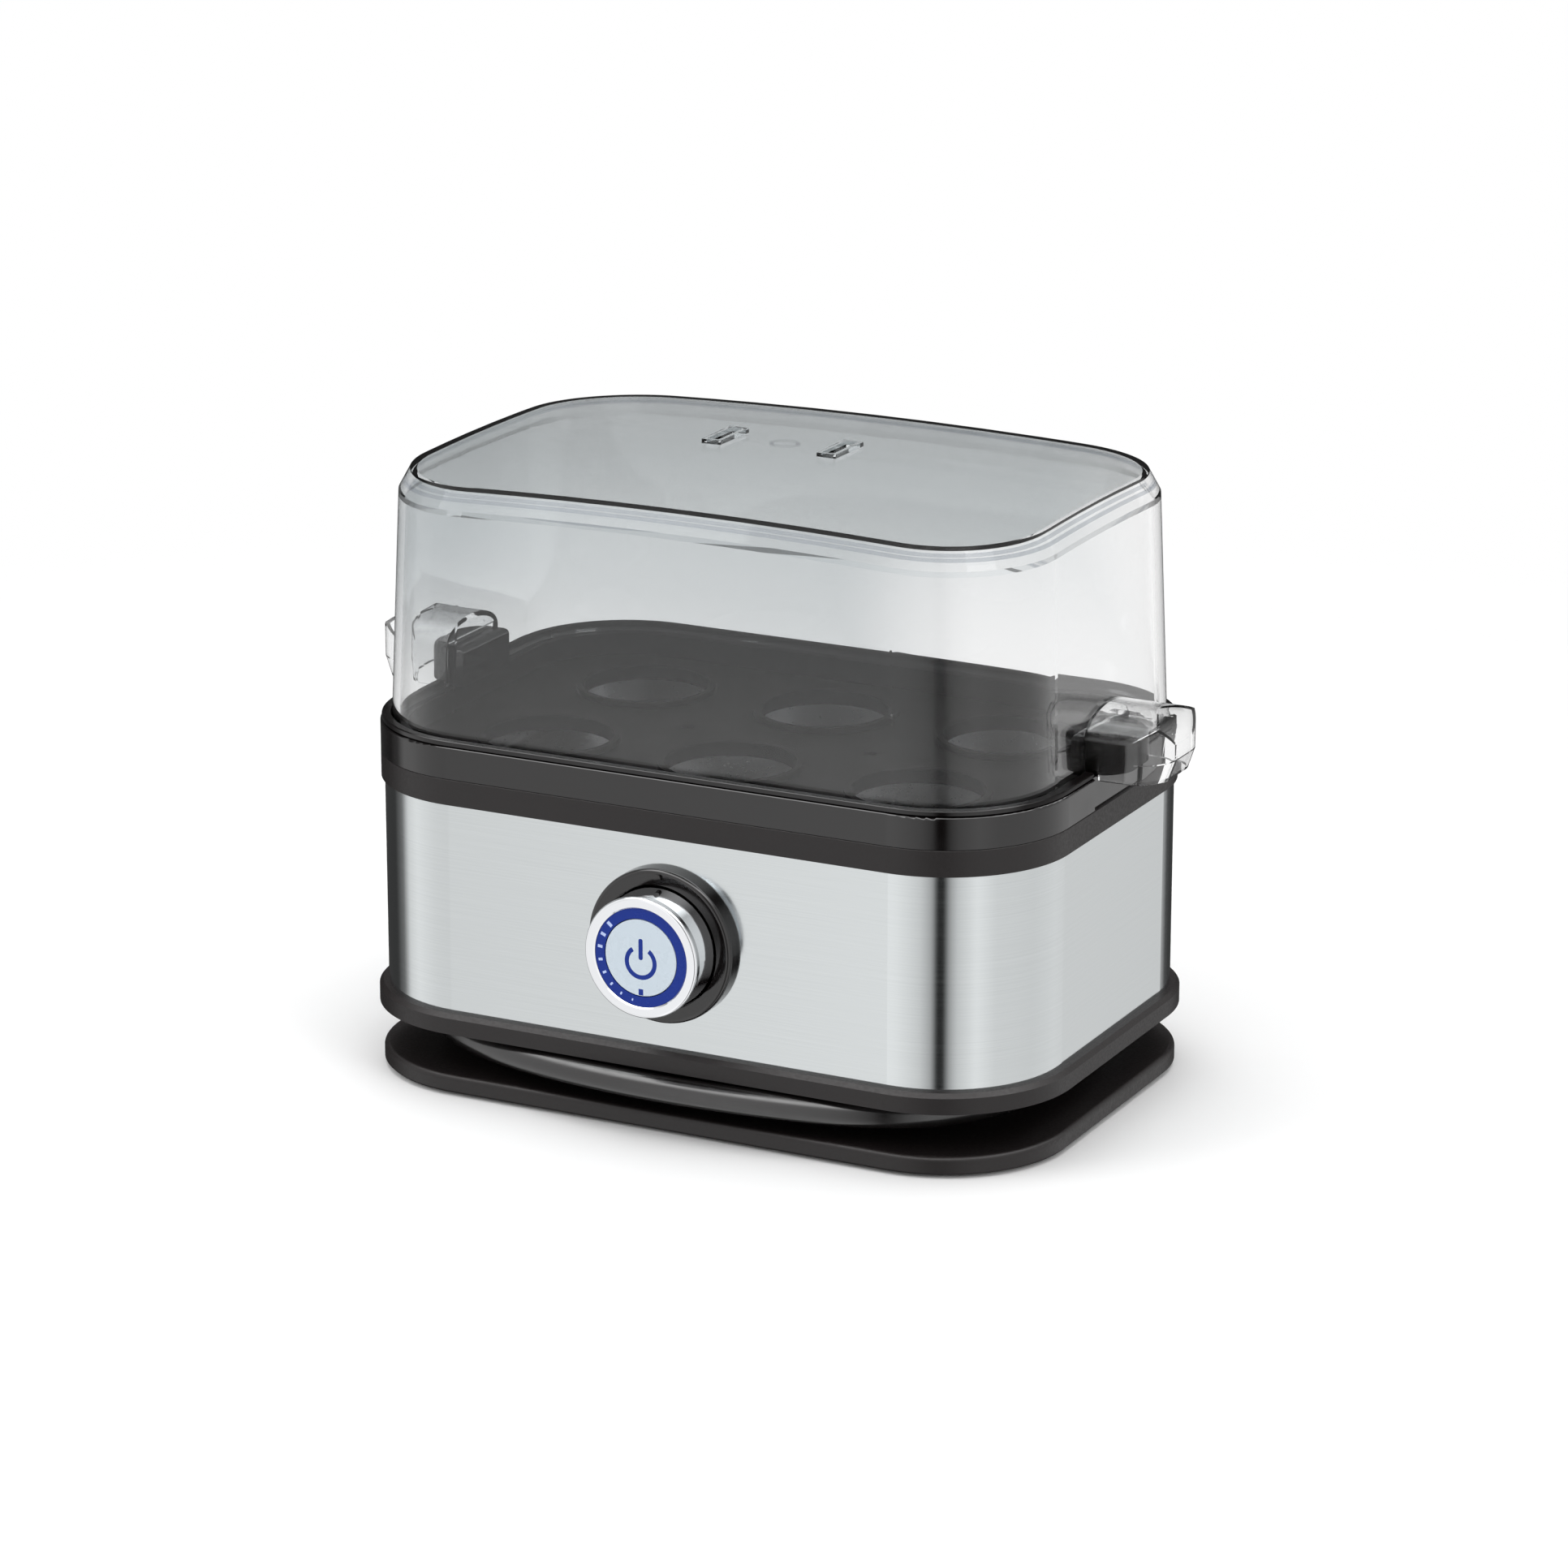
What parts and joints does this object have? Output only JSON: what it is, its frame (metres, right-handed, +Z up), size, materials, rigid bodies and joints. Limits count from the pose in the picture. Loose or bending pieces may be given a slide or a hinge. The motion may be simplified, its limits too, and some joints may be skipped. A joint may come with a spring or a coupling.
{
  "type": "electric egg cooker",
  "caption": "Electric egg cooker: steel-banded rounded base with a dial and centre button, lift-out egg tray and clear lid.",
  "frame": {"origin": "centre of the bounding box's bottom face, on the surface it stands on, cord and plug left out", "axes": "+Z up, -Y towards the front with the dial, +X to the right seen from the front"},
  "size_m": [0.208, 0.1689, 0.1504],
  "materials": {
    "matte_black": "fine matt",
    "gloss_black": "polished",
    "steel": "brushed along the band",
    "chrome": "polished",
    "clear_lid": "clear, faint cool grey",
    "blue": "satin",
    "silver_blue": "pearly",
    "mark_white": "printed",
    "rubber_black": "matt",
    "aluminium": "coated, satin",
    "white_plastic": "plain",
    "board_green": "lacquered",
    "screw_steel": "zinc plated",
    "silicone": "soft",
    "wire": "plain",
    "cord_black": "smooth"
  },
  "bodies": {
    "housing": {"foot_plate": "matte_black", "rubber_feet": "rubber_black", "foot_screws": "screw_steel", "base_pan": "matte_black", "steel_band": "steel", "upper_band": "matte_black", "housing_screws": "screw_steel", "rim": "gloss_black", "tub_seal": "silicone", "water_tub": "aluminium", "heating_plate": "aluminium", "heating_element": "screw_steel", "thermostat": "white_plastic", "thermal_fuse": "screw_steel", "knob_bezel": "gloss_black", "bezel_nut": "matte_black", "control_board": "board_green", "board_bracket": "matte_black", "board_screws": "screw_steel", "rotary_encoder": "white_plastic", "power_switch": "white_plastic", "relay": "white_plastic", "capacitor": "gloss_black", "buzzer": "gloss_black", "terminal_block": "white_plastic", "supply_wires": "wire", "heater_wires": "wire", "board_wires": "wire", "earth_wire": "wire", "cord_strain_relief": "cord_black", "inner_lead": "cord_black", "cord_clamp": "matte_black", "clamp_screw": "screw_steel", "power_cord": "cord_black", "plug_body": "cord_black", "plug_pins": "chrome"},
    "knob": {"knob_shell": "chrome", "knob_hub": "matte_black", "scale_ring": "blue", "scale_marks": "mark_white"},
    "button": {"power_button": "silver_blue", "power_symbol": "blue", "button_stem": "white_plastic", "switch_plunger": "matte_black"},
    "tray": {"egg_tray": "gloss_black"},
    "cover": {"lid": "clear_lid"}
  },
  "joints": [
    {"name": "knob_turn", "type": "hinge", "parent": "housing", "child": "knob", "pos_m": [0, -0.05345, 0.0463], "axis": [0, -1, 0], "range_deg": [0, 150]},
    {"name": "button_press", "type": "slide", "parent": "housing", "child": "button", "axis": [0, 1, 0], "range_m": [0, 0.001], "stiffness_N_per_m": 700, "springref_m": -0.0015},
    {"name": "tray_lift", "type": "slide", "parent": "housing", "child": "tray", "axis": [0, 0, 1], "range_m": [0, 0.12]},
    {"name": "lid_lift", "type": "slide", "parent": "tray", "child": "cover", "axis": [0, 0, 1], "range_m": [0, 0.15]}
  ]
}
